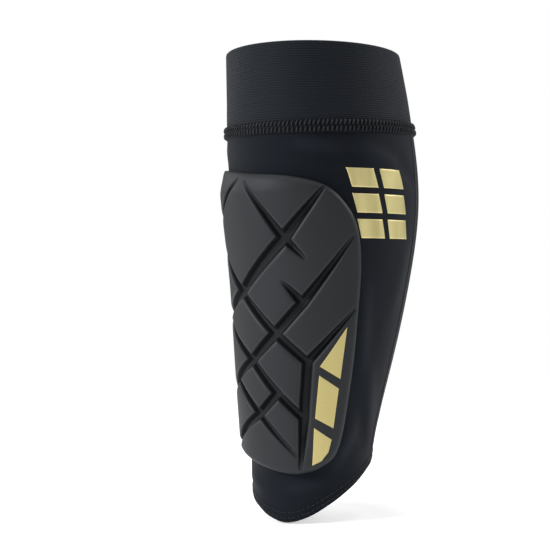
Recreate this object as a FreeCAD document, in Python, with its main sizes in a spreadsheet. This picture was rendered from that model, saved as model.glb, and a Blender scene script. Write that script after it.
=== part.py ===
"""Slip-on shin guard: an elastic leg sleeve with a segmented foam shin pad.

Frame: +Z runs up the leg and the shin faces -Y.  The origin is the centre of the lower leg
opening, at the level of the hem's lowest point.  Angles are measured round the leg from the
shin's crest (0) towards +X.  Lengths are millimetres.
"""
import FreeCAD, Part
import math
import os

Vector = FreeCAD.Vector
doc = FreeCAD.newDocument("shin_guard")

# ---------------------------------------------------------------- driving sizes

SIZES = [
    ("sleeve_height", 285.0, "lowest point of the hem to the top of the cuff"),
    ("cuff_height", 44.5, "top of the leg form's knee station to the top of the cuff"),
    ("hem_half_width", 35.5, "outside of the sleeve, across the leg"),
    ("hem_half_depth", 37.0, "outside of the sleeve, front to back"),
    ("hem_setback", 0.0, "how far the section's centre lies behind the origin"),
    ("ankle_half_width", 37.0, ""),
    ("ankle_half_depth", 39.0, ""),
    ("ankle_setback", 0.0, ""),
    ("shank_half_width", 40.7, ""),
    ("shank_half_depth", 45.3, ""),
    ("shank_setback", 3.8, ""),
    ("low_calf_half_width", 45.2, ""),
    ("low_calf_half_depth", 52.0, ""),
    ("low_calf_setback", 8.6, ""),
    ("mid_calf_half_width", 49.8, ""),
    ("mid_calf_half_depth", 58.6, ""),
    ("mid_calf_setback", 12.6, ""),
    ("calf_half_width", 54.4, ""),
    ("calf_half_depth", 64.0, ""),
    ("calf_setback", 12.6, ""),
    ("knee_half_width", 54.6, ""),
    ("knee_half_depth", 62.0, ""),
    ("knee_setback", 7.5, ""),
    ("brim_half_width", 52.6, ""),
    ("brim_half_depth", 55.9, ""),
    ("brim_setback", 0.4, ""),
    ("knit_thickness", 1.6, "sleeve panels"),
    ("cuff_thickness", 2.4, "two layers of rib knit"),
    ("layer_gap", 0.05, "glue or stitch line between two layers"),
    ("seam_height", 7.3, "overlocked ridge that joins the cuff to the panels"),
    ("seam_proud", 2.4, "ridge outside the sleeve"),
    ("seam_tilt", 2.3, "degrees, the ridge is higher at the back"),
    ("seam_drop", 6.2, "ridge's lower edge below the knee station, at the leg's axis"),
    ("edge_gap", 0.15, "panel edges that butt against each other or the ridge"),
    ("strip_half_width", 2.2, "flatlock seam on the panels and the cuff"),
    ("strip_height", 0.7, "flatlock seam outside the fabric"),
    ("side_panel_wrap", 50.0, "degrees from the pad's widest edge to the panel seam"),
    ("hem_turn_up", 14.0, "height of the hem folded inside"),
    ("turn_up_thickness", 1.2, ""),
    ("stitch_thickness", 0.5, "thread of the hem's two rows"),
    ("stitch_edge_gap", 2.6, "hem line to the lower row"),
    ("stitch_row_gap", 3.2, "lower row to the upper row"),
    ("pad_half_wrap", 70.0, "degrees from the crest to the pad's side edges"),
    ("pad_above_hem", 30.0, "pad's lowest edge above the origin"),
    ("pad_below_seam", 20.0, "pad's highest edge below the cuff's ridge"),
    ("web_thickness", 1.8, "hinge web that carries the foam blocks"),
    ("pad_thickness", 6.5, "top of the pad above the sleeve"),
    ("pad_ramp", 17.0, "length of the slope at the pad's top edge"),
    ("groove_width", 6.0, "between neighbouring foam blocks"),
    ("skin_thickness", 0.5, "film moulded over the blocks"),
    ("inlay_thickness", 0.4, ""),
    ("emblem_thickness", 0.25, ""),
    ("emblem_tuck", 4.0, "degrees the emblem's middle row starts inside the pad's widest edge"),
    ("liner_thickness", 1.5, ""),
    ("liner_margin", 4.0, "liner's edge inside the pad's edge"),
]

sheet = doc.addObject("Spreadsheet::Sheet", "sizes")
for row, (alias, value, note) in enumerate(SIZES, start=1):
    sheet.set(f"A{row}", alias)
    sheet.set(f"B{row}", str(value))
    sheet.set(f"C{row}", note)
    sheet.setAlias(f"B{row}", alias)
doc.recompute()


def size(alias):
    """The number in the sheet's cell of that name."""
    return float(sheet.get(alias))


# ---------------------------------------------------------------- leg form

# Stations of the leg form from the hem to the knee, as shares of that length; the brim is
# the top of the cuff.
STATIONS = [("hem", 0.0), ("ankle", 0.166), ("shank", 0.312), ("low_calf", 0.457),
            ("mid_calf", 0.624), ("calf", 0.811), ("knee", 1.0)]
FORM_FOOT = -5.0
FORM_LEVELS = 16
RING_POINTS = 24
HEM_POINTS = 48

knee_level = size("sleeve_height") - size("cuff_height")
station_names = [name for name, share in STATIONS] + ["brim"]
station_levels = [share * knee_level for name, share in STATIONS] + [size("sleeve_height")]


def natural_spline(places, values):
    """The natural cubic spline through the values, as a function of the place."""
    count = len(places)
    steps = [places[i + 1] - places[i] for i in range(count - 1)]
    bends = [0.0] * count
    upper = [0.0] * count
    for i in range(1, count - 1):
        slope_change = ((values[i + 1] - values[i]) / steps[i]
                        - (values[i] - values[i - 1]) / steps[i - 1])
        pivot = 2 * (steps[i - 1] + steps[i]) - steps[i - 1] * upper[i - 1]
        upper[i] = steps[i] / pivot
        bends[i] = (6 * slope_change - steps[i - 1] * bends[i - 1]) / pivot
    for i in range(count - 2, 0, -1):
        bends[i] -= upper[i] * bends[i + 1]

    def at(place):
        i = max(0, min(count - 2, sum(1 for p in places[1:-1] if p < place)))
        step, after, before = steps[i], place - places[i], places[i + 1] - place
        return ((bends[i] * before ** 3 + bends[i + 1] * after ** 3) / (6 * step)
                + (values[i] / step - bends[i] * step / 6) * before
                + (values[i + 1] / step - bends[i + 1] * step / 6) * after)
    return at


half_width = natural_spline(station_levels, [size(n + "_half_width") for n in station_names])
half_depth = natural_spline(station_levels, [size(n + "_half_depth") for n in station_names])
setback = natural_spline(station_levels, [size(n + "_setback") for n in station_names])


def leg_point(angle, level, offset=0.0):
    """A point outside (or inside) the sleeve's outer face by the offset."""
    turn = math.radians(angle)
    return Vector((half_width(level) + offset) * math.sin(turn),
                  setback(level) - (half_depth(level) + offset) * math.cos(turn), level)


def leg_normal(angle, level):
    """The level outward normal of the leg's elliptical section."""
    turn = math.radians(angle)
    normal = Vector(math.sin(turn) * half_depth(level), -math.cos(turn) * half_width(level), 0)
    return normal.normalize()


def smooth_loop(knots, angle):
    """A closed cubic curve through (angle, value) knots, with slopes from the neighbours."""
    count = len(knots)
    angle = (angle - knots[0][0]) % 360 + knots[0][0]
    around = [(a + 360 * turn, v) for turn in (-1, 0, 1) for a, v in knots]
    i = max(k for k in range(count, 2 * count) if around[k][0] <= angle)
    (a0, v0), (a1, v1), (a2, v2), (a3, v3) = around[i - 1:i + 3]
    span = a2 - a1
    share = (angle - a1) / span
    slope_1 = (v2 - v0) / (a2 - a0) * span
    slope_2 = (v3 - v1) / (a3 - a1) * span
    return ((1 + 2 * share) * (1 - share) ** 2 * v1 + share * (1 - share) ** 2 * slope_1
            + share ** 2 * (3 - 2 * share) * v2 + share ** 2 * (share - 1) * slope_2)


# The hem line: it dips over the instep and rises round the heel side.
HEM_LINE = [(-150, 35.0), (-110, 28.0), (-75, 18.0), (-45, 12.5), (-20, 7.6), (0, 2.4),
            (19, 0.0), (40, 3.4), (62, 11.0), (88, 21.0), (115, 30.5), (150, 35.0)]


def hem_level(angle):
    return smooth_loop(HEM_LINE, angle)


# ---------------------------------------------------------------- construction helpers

node_objects = {}


def helper(name, shape):
    """A construction object whose free-form shape follows the leg form."""
    item = doc.addObject("Part::Feature", name)
    item.Shape = shape
    return item


def node(name, item):
    """Registers an object as a sub-part under its node name."""
    item.Label = name
    node_objects[name] = item
    return item


def join(kind, name, base, tool):
    item = doc.addObject(kind, name)
    item.Base = base
    item.Tool = tool
    return item


def cut(name, base, tool):
    return join("Part::Cut", name, base, tool)


def common(name, *items):
    item = doc.addObject("Part::MultiCommon", name)
    item.Shapes = list(items)
    return item


def form_levels():
    step = (size("sleeve_height") - FORM_FOOT) / FORM_LEVELS
    return [FORM_FOOT + step * i for i in range(FORM_LEVELS + 1)]


def ring(level, offset):
    """The leg's closed section at one level, as a periodic curve."""
    angles = [180 + 360 * i / RING_POINTS for i in range(RING_POINTS)]
    curve = Part.BSplineCurve()
    curve.interpolate(Points=[leg_point(a, level, offset) for a in angles], PeriodicFlag=True)
    return Part.Wire([curve.toShape()])


SEW_TOLERANCE = 1e-4


def leg_layer(name, inner, outer):
    """The tube-shaped layer between two offsets: numbers, or functions of the level."""
    sides, rims = [], []
    for offset in (inner, outer):
        grown = offset if callable(offset) else (lambda level, fixed=offset: fixed)
        rings = [ring(level, grown(level)) for level in form_levels()]
        sides += Part.makeLoft(rings, False).Faces
        rims.append((rings[0], rings[-1]))
    ends = [Part.Face([outside, inside]) for inside, outside in zip(*rims)]
    shell = Part.makeShell(sides + ends)
    shell.sewShape()
    shell.fix(SEW_TOLERANCE, SEW_TOLERANCE, SEW_TOLERANCE)
    solid = Part.makeSolid(shell)
    solid.fix(SEW_TOLERANCE, SEW_TOLERANCE, SEW_TOLERANCE)
    if solid.Volume < 0:
        solid.reverse()
    return helper(name, solid)


TOOL_REACH = 30.0


def wedge(name, angle_from, angle_to, steps=8):
    """Everything on one side of the leg between two angles, as a cutting tool."""
    sections = []
    for level in form_levels()[::2]:
        fan = [angle_from + (angle_to - angle_from) * i / steps for i in range(steps + 1)]
        corners = [Vector(0, setback(level), level)]
        corners += [leg_point(a, level, TOOL_REACH) for a in fan]
        sections.append(Part.makePolygon(corners + corners[:1]))
    return helper(name, Part.makeLoft(sections, True))


def rib_tool(name, angle, half_width_mm):
    """A thin upright slab that crosses the leg's wall at one angle."""
    sections = []
    for level in form_levels()[::2]:
        normal = leg_normal(angle, level)
        side = Vector(-normal.y, normal.x, 0) * half_width_mm
        inner = leg_point(angle, level) - normal * TOOL_REACH / 2
        outer = leg_point(angle, level) + normal * TOOL_REACH / 2
        corners = [inner - side, outer - side, outer + side, inner + side]
        sections.append(Part.makePolygon(corners + corners[:1]))
    return helper(name, Part.makeLoft(sections, True))


def hem_slab(name, low, high, inner=-TOOL_REACH / 1.5, outer=TOOL_REACH / 2):
    """The ring between two heights above the hem line and two offsets from the sleeve."""
    edges = []
    for offset in (inner, outer):
        points = []
        for i in range(HEM_POINTS):
            angle = 180 + 360 * i / HEM_POINTS
            level = hem_level(angle) + low
            point = leg_point(angle, max(level, 0.0), offset)
            points.append(Vector(point.x, point.y, level))
        curve = Part.BSplineCurve()
        curve.interpolate(Points=points, PeriodicFlag=True)
        edges.append(curve.toShape())
    return helper(name, Part.makeRuledSurface(*edges).extrude(Vector(0, 0, high - low)))


BLOCK_SPAN = 400.0


def tilted_block(name, level, height_expression):
    """A wide block whose underside is the ridge's plane at that level on the leg's axis."""
    item = doc.addObject("Part::Box", name)
    item.Length = BLOCK_SPAN
    item.Width = BLOCK_SPAN
    item.setExpression("Height", height_expression)
    turn = FreeCAD.Rotation(Vector(1, 0, 0), size("seam_tilt"))
    corner = turn.multVec(Vector(-BLOCK_SPAN / 2, -BLOCK_SPAN / 2, 0)) + Vector(0, 0, level)
    item.Placement = FreeCAD.Placement(corner, turn)
    return item


# ---------------------------------------------------------------- pad pattern

ridge_foot = knee_level - size("seam_drop")
ridge_top = ridge_foot + size("seam_height")
pad_foot = size("pad_above_hem")
pad_top = ridge_foot - size("pad_below_seam")
pad_height = pad_top - pad_foot


def pad_place(across, up):
    """Angle and level of a place on the pad: across -1..1 from edge to edge, up 0..1."""
    return across * size("pad_half_wrap"), pad_foot + up * pad_height


def pad_point(place, offset):
    return leg_point(*pad_place(*place), offset)


# The pad's outline, clockwise from the middle of its top edge.
OUTLINE = [(0.0, 0.975), (0.40, 0.962), (0.68, 0.932), (0.84, 0.872), (0.935, 0.795),
           (0.98, 0.68), (0.995, 0.52), (1.015, 0.32), (1.0, 0.15), (0.925, 0.062),
           (0.75, 0.022), (0.55, 0.004), (0.36, 0.0), (0.12, 0.01), (-0.2, 0.032),
           (-0.54, 0.06), (-0.80, 0.105), (-0.94, 0.18), (-1.0, 0.32), (-1.0, 0.52),
           (-0.985, 0.70), (-0.955, 0.84), (-0.86, 0.945), (-0.66, 0.995), (-0.35, 0.99)]

# Where the grooves meet.
CROSSINGS = {
    "crown_cross": (-0.071, 0.967), "upper_cross": (0.332, 0.764), "left_cross": (-0.164, 0.591),
    "stub_cross": (0.487, 0.556), "mid_cross": (0.234, 0.457), "crest_cross": (-0.054, 0.368),
    "low_cross": (0.252, 0.263), "toe_cross": (0.021, 0.193), "toe_end": (0.470, 0.066),
    "wing_top": (0.552, 0.366), "wing_mid": (0.541, 0.183), "flank_upper": (-0.757, 0.792),
    "flank_mid": (-0.666, 0.503), "flank_low": (-0.388, 0.308),
}
# Where the grooves run out through the pad's edge, carried on past it.
OUTLETS = {
    "crown_out": (-0.071, 1.08), "shoulder_out": (0.90, 1.05), "side_high_out": (1.22, 0.95),
    "side_mid_out": (1.22, 0.66), "wing_corner": (1.22, -0.08), "wing_foot_out": (0.50, -0.08),
    "toe_left_out": (-1.10, 0.005), "flank_low_out": (-1.25, 0.154),
    "flank_mid_out": (-1.25, 0.40), "flank_high_out": (-1.25, 0.66), "top_corner": (-1.25, 1.08),
}
PLACES = {**CROSSINGS, **OUTLETS}

# Each foam block by the places at its corners, in order round the block.
BLOCKS = {
    "crown_left_block": ["crown_out", "crown_cross", "flank_upper", "flank_high_out",
                         "top_corner"],
    "crown_right_block": ["crown_out", "crown_cross", "upper_cross", "shoulder_out"],
    "upper_diamond_block": ["crown_cross", "upper_cross", "left_cross", "flank_upper"],
    "upper_flank_block": ["flank_high_out", "flank_upper", "left_cross", "flank_mid",
                          "flank_mid_out"],
    "shoulder_block": ["shoulder_out", "upper_cross", "left_cross", "mid_cross", "stub_cross",
                       "side_high_out"],
    "centre_diamond_block": ["left_cross", "mid_cross", "crest_cross", "flank_mid"],
    "middle_flank_block": ["flank_mid_out", "flank_mid", "crest_cross", "flank_low",
                           "flank_low_out"],
    "outer_band_block": ["mid_cross", "stub_cross", "side_high_out", "side_mid_out",
                         "wing_top"],
    "lower_diamond_block": ["mid_cross", "wing_top", "wing_mid", "low_cross", "crest_cross"],
    "small_diamond_block": ["crest_cross", "low_cross", "toe_cross", "flank_low"],
    "lower_right_block": ["low_cross", "wing_mid", "toe_end", "toe_cross"],
    "lower_flank_block": ["flank_low_out", "flank_low", "toe_cross", "toe_left_out"],
    "toe_block": ["toe_cross", "toe_end", "wing_foot_out", "toe_left_out"],
    "wing_block": ["wing_top", "side_mid_out", "wing_corner", "wing_foot_out"],
}

# Gold tiles on the wing block.
INLAYS = {
    "upper_inlay": [(0.883, 0.478), (0.874, 0.311), (0.670, 0.352)],
    "middle_inlay": [(0.670, 0.3235), (0.869, 0.280), (0.854, 0.152), (0.657, 0.185)],
    "lower_inlay": [(0.651, 0.154), (0.844, 0.115), (0.817, 0.075), (0.743, 0.046),
                    (0.644, 0.032)],
}

# The emblem is two leaning columns of tiles; sizes in degrees across and shares of the pad up.
EMBLEM_COLUMNS = 2
EMBLEM_ROWS = 3
EMBLEM_TILE_WRAP = 17.0
EMBLEM_TILE_RISE = 0.062
EMBLEM_COLUMN_STEP = 21.0
EMBLEM_ROW_STEP = 0.082
EMBLEM_LEAN = -3.0
EMBLEM_FOOT = 0.765

PRISM_OUT = 16.0
PRISM_IN = 26.0


def prism(name, corners, inset=None):
    """A straight prism through the leg's wall, along the wall's normal at the corners' middle.

    The corners are (angle, level) pairs.  With an inset, an expression on the sheet, the prism
    is smaller than its corners by that much all round.
    """
    points = [leg_point(a, z, size("pad_thickness") / 2) for a, z in corners]
    middle = sum(points, Vector()) * (1.0 / len(points))
    normal = leg_normal(sum(a for a, z in corners) / len(corners), middle.z)
    outline = doc.addObject("Part::Polygon", name + "_outline")
    outline.Nodes = [p - normal * (p - middle).dot(normal) for p in points]
    outline.Close = True
    if inset:
        inner = doc.addObject("Part::Offset2D", name + "_inset")
        inner.Source = outline
        inner.Join = 2
        inner.setExpression("Value", "-(" + inset + ")")
        outline = inner
    item = doc.addObject("Part::Extrusion", name + "_prism")
    item.Base = outline
    item.DirMode = "Custom"
    item.Dir = normal
    item.LengthFwd = PRISM_OUT
    item.LengthRev = PRISM_IN
    item.Solid = True
    return item


# ---------------------------------------------------------------- fabric sleeve

seam_angle = size("pad_half_wrap") + size("side_panel_wrap")
gap = size("layer_gap")
butt_angle = math.degrees(size("edge_gap") / size("mid_calf_half_width"))

above_ridge_foot = tilted_block("above_ridge_foot", ridge_foot - size("edge_gap"),
                                "sizes.sleeve_height")
below_hem = hem_slab("below_hem", -size("sleeve_height") / 5, 0.0)


def make_panels():
    """Front and calf panels, cut from one knit layer along the two side seams."""
    knit = leg_layer("knit_layer", -size("knit_thickness"), 0.0)
    trimmed = cut("knit_trimmed", cut("knit_below_ridge", knit, above_ridge_foot), below_hem)
    front = wedge("front_sector", -seam_angle, seam_angle)
    wider = wedge("front_sector_wide", -seam_angle - butt_angle, seam_angle + butt_angle)
    node("front_panel", common("front_panel", trimmed, front))
    node("calf_panel", cut("calf_panel", trimmed, wider))


def make_cuff():
    """The knee band and the overlocked ridge that joins it to the panels."""
    ridge_layer = leg_layer("ridge_layer", -size("cuff_thickness"), size("seam_proud"))
    ridge_slab = tilted_block("ridge_slab", ridge_foot, "sizes.seam_height")
    node("cuff_join_seam", common("cuff_join_seam", ridge_layer, ridge_slab))
    band_layer = leg_layer("band_layer", -size("cuff_thickness"), 0.0)
    above_ridge = tilted_block("above_ridge", ridge_top + size("edge_gap"),
                               "sizes.sleeve_height")
    node("cuff_band", common("cuff_band", band_layer, above_ridge))
    return above_ridge


def make_seam_strips(above_ridge):
    """Flatlock seams: two on the panels, one that closes the cuff at the back."""
    layer = leg_layer("strip_layer", gap, gap + size("strip_height"))
    stitch_top = size("stitch_edge_gap") + size("stitch_row_gap") + 2 * size("stitch_thickness")
    below_stitches = hem_slab("below_stitches", -size("sleeve_height") / 5,
                              stitch_top + size("edge_gap"))
    panel_layer = cut("strip_layer_trimmed",
                      cut("strip_layer_below_ridge", layer, above_ridge_foot), below_stitches)
    for name, angle in (("left_panel_seam", -seam_angle), ("right_panel_seam", seam_angle)):
        slab = rib_tool(name + "_slab", angle, size("strip_half_width"))
        node(name, common(name, panel_layer, slab))
    back_slab = rib_tool("cuff_back_slab", 180.0, size("strip_half_width"))
    node("cuff_back_seam", common("cuff_back_seam", layer, above_ridge, back_slab))


# The leg widens a little over a thread's height, so a row stands this far off the sleeve.
THREAD_CLEARANCE = 0.12


def make_hem():
    """The fabric turned up inside the hem and the two rows of thread that hold it."""
    face = -size("knit_thickness") - gap
    layer = leg_layer("turn_up_layer", face - size("turn_up_thickness"), face)
    slab = hem_slab("turn_up_slab", size("edge_gap"), size("hem_turn_up"))
    node("hem_turn_up", common("hem_turn_up", layer, slab))
    thread = size("stitch_thickness")
    rows = []
    for row in range(2):
        low = size("stitch_edge_gap") + row * size("stitch_row_gap")
        rows.append(hem_slab(f"stitch_row_{row + 1}", low, low + thread,
                             THREAD_CLEARANCE, THREAD_CLEARANCE + thread))
    group = doc.addObject("Part::Compound", "hem_stitches")
    group.Links = rows
    node("hem_stitches", group)


# ---------------------------------------------------------------- shin pad

def outline_prism(name, margin=0.0):
    """The pad's outline seen from the front, drawn in by a margin, through the leg's wall."""
    points = [pad_point(place, size("web_thickness")) for place in OUTLINE]
    flat = [Vector(p.x, 0, p.z) for p in points]
    middle = sum(flat, Vector()) * (1.0 / len(flat))
    drawn_in = [p + (middle - p).normalize() * margin for p in flat]
    curve = Part.BSplineCurve()
    curve.interpolate(Points=drawn_in, PeriodicFlag=True)
    outline = helper(name + "_outline", Part.Wire([curve.toShape()]))
    item = doc.addObject("Part::Extrusion", name)
    item.Base = outline
    item.DirMode = "Custom"
    item.Dir = Vector(0, -1, 0)
    item.setExpression("LengthFwd", "sizes.calf_half_depth * 2")
    item.setExpression("LengthRev", "sizes.calf_half_depth / 2")
    item.Solid = True
    return item


FRONT_MARGIN = 12.0


def make_pad():
    """The hinge web, the foam blocks on it, the skin over them and the wing's gold tiles."""
    sector = wedge("pad_sector", -size("pad_half_wrap") - FRONT_MARGIN,
                   size("pad_half_wrap") + FRONT_MARGIN)
    outline = common("pad_front_prism", sector, outline_prism("pad_prism"))
    web_face = gap + size("web_thickness")
    web_layer = leg_layer("web_layer", gap, web_face)
    node("pad_web", common("pad_web", web_layer, outline))

    block_foot = web_face + gap
    skin = size("skin_thickness")

    def skin_top(level):
        share = min(1.0, max(0.0, (pad_top - level) / size("pad_ramp")))
        rise = share * share * (3 - 2 * share)
        thin = block_foot + size("web_thickness") / 2 + gap + skin
        return thin + (size("pad_thickness") - thin) * rise

    def skin_foot(level):
        return skin_top(level) - skin

    def block_top(level):
        return skin_foot(level) - gap

    skin_layer = leg_layer("skin_layer", skin_foot, skin_top)
    node("pad_skin", common("pad_skin", skin_layer, outline))
    block_layer = leg_layer("block_layer", block_foot, block_top)
    blank = common("block_blank", block_layer, outline)
    for name, corners in BLOCKS.items():
        shape = prism(name, [pad_place(*PLACES[c]) for c in corners],
                      "sizes.groove_width / 2")
        node(name, common(name, blank, shape))

    inlay_foot = size("pad_thickness") + gap
    inlay_layer = leg_layer("inlay_layer", inlay_foot, inlay_foot + size("inlay_thickness"))
    for name, corners in INLAYS.items():
        shape = prism(name, [pad_place(*c) for c in corners])
        node(name, common(name, inlay_layer, shape))


def make_emblem():
    """Foil tiles on the outer side of the front panel."""
    layer = leg_layer("emblem_layer", gap, gap + size("emblem_thickness"))
    tiles = []
    first = size("pad_half_wrap") - size("emblem_tuck")
    for column in range(EMBLEM_COLUMNS):
        for row in range(EMBLEM_ROWS):
            left = first + column * EMBLEM_COLUMN_STEP + (row - 1) * EMBLEM_LEAN
            low = EMBLEM_FOOT + row * EMBLEM_ROW_STEP
            corners = [(0, 0), (EMBLEM_TILE_WRAP, 0),
                       (EMBLEM_TILE_WRAP + EMBLEM_LEAN, EMBLEM_TILE_RISE),
                       (EMBLEM_LEAN, EMBLEM_TILE_RISE)]
            name = f"emblem_tile_{column + 1}_{row + 1}"
            shape = prism(name, [(left + a, pad_foot + (low + up) * pad_height)
                                 for a, up in corners])
            tiles.append(common(name, layer, shape))
    group = doc.addObject("Part::Compound", "side_emblem")
    group.Links = tiles
    node("side_emblem", group)


def make_liner():
    """The soft backing sewn inside the sleeve behind the pad."""
    face = -size("knit_thickness") - gap
    layer = leg_layer("liner_layer", face - size("liner_thickness"), face)
    sector = wedge("liner_sector", -size("pad_half_wrap"), size("pad_half_wrap"))
    outline = common("liner_front_prism", sector,
                     outline_prism("liner_prism", size("liner_margin")))
    node("pad_liner", common("pad_liner", layer, outline))


# ---------------------------------------------------------------- build, check, write

make_panels()
make_seam_strips(make_cuff())
make_hem()
make_pad()
make_emblem()
make_liner()
doc.recompute()

for item in doc.Objects:
    if "Invalid" in item.State or "Error" in item.State:
        raise RuntimeError(f"{item.Name} failed to build: {item.State}")
for name, item in node_objects.items():
    shape = item.Shape
    if shape.isNull() or not shape.isValid() or not shape.Solids:
        raise RuntimeError(f"{name} has no valid solid")

os.makedirs("parts", exist_ok=True)
for name, item in node_objects.items():
    solids = item.Shape.Solids
    print(f"{name}: {len(solids)} solids, {item.Shape.Volume:.1f} mm3")
    item.Shape.exportStep(f"parts/{name}.step")
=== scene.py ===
"""Slip-on shin guard: every visible piece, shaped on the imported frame.

Lengths are metres.  Angles are degrees round the leg from the shin's crest towards +X.  A place
on the pad is (across, up): -1..1 from edge to edge and 0..1 from its foot to its top.
"""
import math

import bpy
import numpy as np
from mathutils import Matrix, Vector


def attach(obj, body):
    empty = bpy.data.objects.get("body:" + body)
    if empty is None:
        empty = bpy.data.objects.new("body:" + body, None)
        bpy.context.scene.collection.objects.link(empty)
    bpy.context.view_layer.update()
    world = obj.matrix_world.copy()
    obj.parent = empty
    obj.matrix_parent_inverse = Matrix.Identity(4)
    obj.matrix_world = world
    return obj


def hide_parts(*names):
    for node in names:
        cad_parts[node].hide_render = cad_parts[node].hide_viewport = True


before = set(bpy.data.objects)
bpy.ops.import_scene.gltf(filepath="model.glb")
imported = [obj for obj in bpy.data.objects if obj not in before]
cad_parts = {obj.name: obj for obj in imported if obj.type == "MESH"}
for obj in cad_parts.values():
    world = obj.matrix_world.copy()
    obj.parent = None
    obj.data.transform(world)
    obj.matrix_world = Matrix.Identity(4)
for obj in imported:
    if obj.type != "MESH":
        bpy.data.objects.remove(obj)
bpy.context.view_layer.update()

MM = 0.001

# ---------------------------------------------------------------- leg form

SLEEVE_TOP = 285 * MM
KNEE = 240.5 * MM
STATION_SHARES = (0.0, 0.166, 0.312, 0.457, 0.624, 0.811, 1.0)
HALF_WIDTHS = (35.5, 37.0, 40.7, 45.2, 49.8, 54.4, 54.6, 52.6)
HALF_DEPTHS = (37.0, 39.0, 45.3, 52.0, 58.6, 64.0, 62.0, 55.9)
SETBACKS = (0.0, 0.0, 3.8, 8.6, 12.6, 12.6, 7.5, 0.4)
HEM_ANGLES = (-150, -110, -75, -45, -20, 0, 19, 40, 62, 88, 115, 150)
HEM_RISES = (35.0, 28.0, 18.0, 12.5, 7.6, 2.4, 0.0, 3.4, 11.0, 21.0, 30.5, 35.0)

KNIT = 1.6 * MM
CUFF = 2.4 * MM
LAYER_GAP = 0.05 * MM
RIDGE_FOOT = KNEE - 6.2 * MM
RIDGE_HEIGHT = 7.3 * MM
RIDGE_PROUD = 1.4 * MM
TUCK = 1.2 * MM
RIDGE_SLOPE = math.tan(math.radians(2.3))
SEAM_ANGLE = 120.0


def natural_spline(places, values):
    """Natural cubic spline: the bends at the knots solve the usual three-term equations."""
    places, values = np.array(places, float), np.array(values, float)
    steps = np.diff(places)
    inner = np.arange(1, len(places) - 1)
    system = np.eye(len(places))
    system[inner, inner - 1] = steps[:-1]
    system[inner, inner] = 2 * (steps[:-1] + steps[1:])
    system[inner, inner + 1] = steps[1:]
    target = np.zeros(len(places))
    target[inner] = 6 * np.diff(np.diff(values) / steps)
    bends = np.linalg.solve(system, target)

    def at(place):
        i = np.clip(np.searchsorted(places, place) - 1, 0, len(places) - 2)
        step, after, before = steps[i], place - places[i], places[i + 1] - place
        return ((bends[i] * before ** 3 + bends[i + 1] * after ** 3) / (6 * step)
                + (values[i] / step - bends[i] * step / 6) * before
                + (values[i + 1] / step - bends[i + 1] * step / 6) * after)
    return at


levels = [share * KNEE for share in STATION_SHARES] + [SLEEVE_TOP]
half_width = natural_spline(levels, np.array(HALF_WIDTHS) * MM)
half_depth = natural_spline(levels, np.array(HALF_DEPTHS) * MM)
setback = natural_spline(levels, np.array(SETBACKS) * MM)


def leg(angle, level, offset=0.0):
    """The ellipse x = (half width + offset) sin a, y = setback - (half depth + offset) cos a."""
    angle, level, offset = np.broadcast_arrays(angle, level, offset)
    turn = np.radians(angle)
    return np.stack([(half_width(level) + offset) * np.sin(turn),
                     setback(level) - (half_depth(level) + offset) * np.cos(turn), level], -1)


def leg_normal(angle, level):
    """The outward unit normal of the ellipse at each point."""
    turn = np.radians(angle)
    normal = np.stack([np.sin(turn) * half_depth(level), -np.cos(turn) * half_width(level),
                       0 * turn], -1)
    return normal / np.linalg.norm(normal, axis=-1, keepdims=True)


def arc(angle, level):
    """Length round the leg from the crest: the ellipse's arc R (a + e/4 sin 2a)."""
    a, wide, deep = np.radians(angle), half_width(level), half_depth(level)
    mean = np.sqrt((wide ** 2 + deep ** 2) / 2)
    flat = (wide ** 2 - deep ** 2) / (wide ** 2 + deep ** 2)
    return mean * (a + flat / 4 * np.sin(2 * a))


def unrolled(angle, level):
    """Points on the flattened sleeve: (length round the leg from the crest, level)."""
    return np.stack([arc(angle, level), level], -1)


def all_round(count):
    """Angles once round the leg, from the back."""
    return np.linspace(180, 540, count, endpoint=False)


def loop_curve(places, values, length, at):
    """Closed cubic through the knots, each slope taken from its two neighbours."""
    places, values = np.array(places, float), np.array(values, float)
    places = np.concatenate([places - length, places, places + length])
    values = np.concatenate([values] * 3)
    spans = (np.roll(places, -1) - np.roll(places, 1)).reshape((-1,) + (1,) * (values.ndim - 1))
    slopes = (np.roll(values, -1, 0) - np.roll(values, 1, 0)) / spans
    start = places[len(places) // 3]
    at = (np.asarray(at, float) - start) % length + start
    i = np.searchsorted(places, at, side="right") - 1
    step = places[i + 1] - places[i]
    share = (at - places[i]) / step
    if values.ndim > 1:
        share, step = share[..., None], step[..., None]
    return ((1 + 2 * share) * (1 - share) ** 2 * values[i]
            + share * (1 - share) ** 2 * step * slopes[i]
            + share ** 2 * (3 - 2 * share) * values[i + 1]
            + share ** 2 * (share - 1) * step * slopes[i + 1])


def hem_level(angle):
    """Level of the hem line round the leg."""
    return loop_curve(HEM_ANGLES, np.array(HEM_RISES) * MM, 360.0, angle)


def ridge_level(angle, height=0.0):
    """Level on the ridge's tilted plane, that much above its foot."""
    y = setback(RIDGE_FOOT) - half_depth(RIDGE_FOOT) * np.cos(np.radians(angle))
    return RIDGE_FOOT + y * RIDGE_SLOPE + height


def ease(share):
    """0 to 1 with level ends: 3x^2 - 2x^3 of the clipped share."""
    share = np.clip(share, 0.0, 1.0)
    return share * share * (3 - 2 * share)


def blend(low, high, share):
    """From low to high by the share."""
    return low + (high - low) * share


# ---------------------------------------------------------------- soft folds of the sleeve

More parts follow.
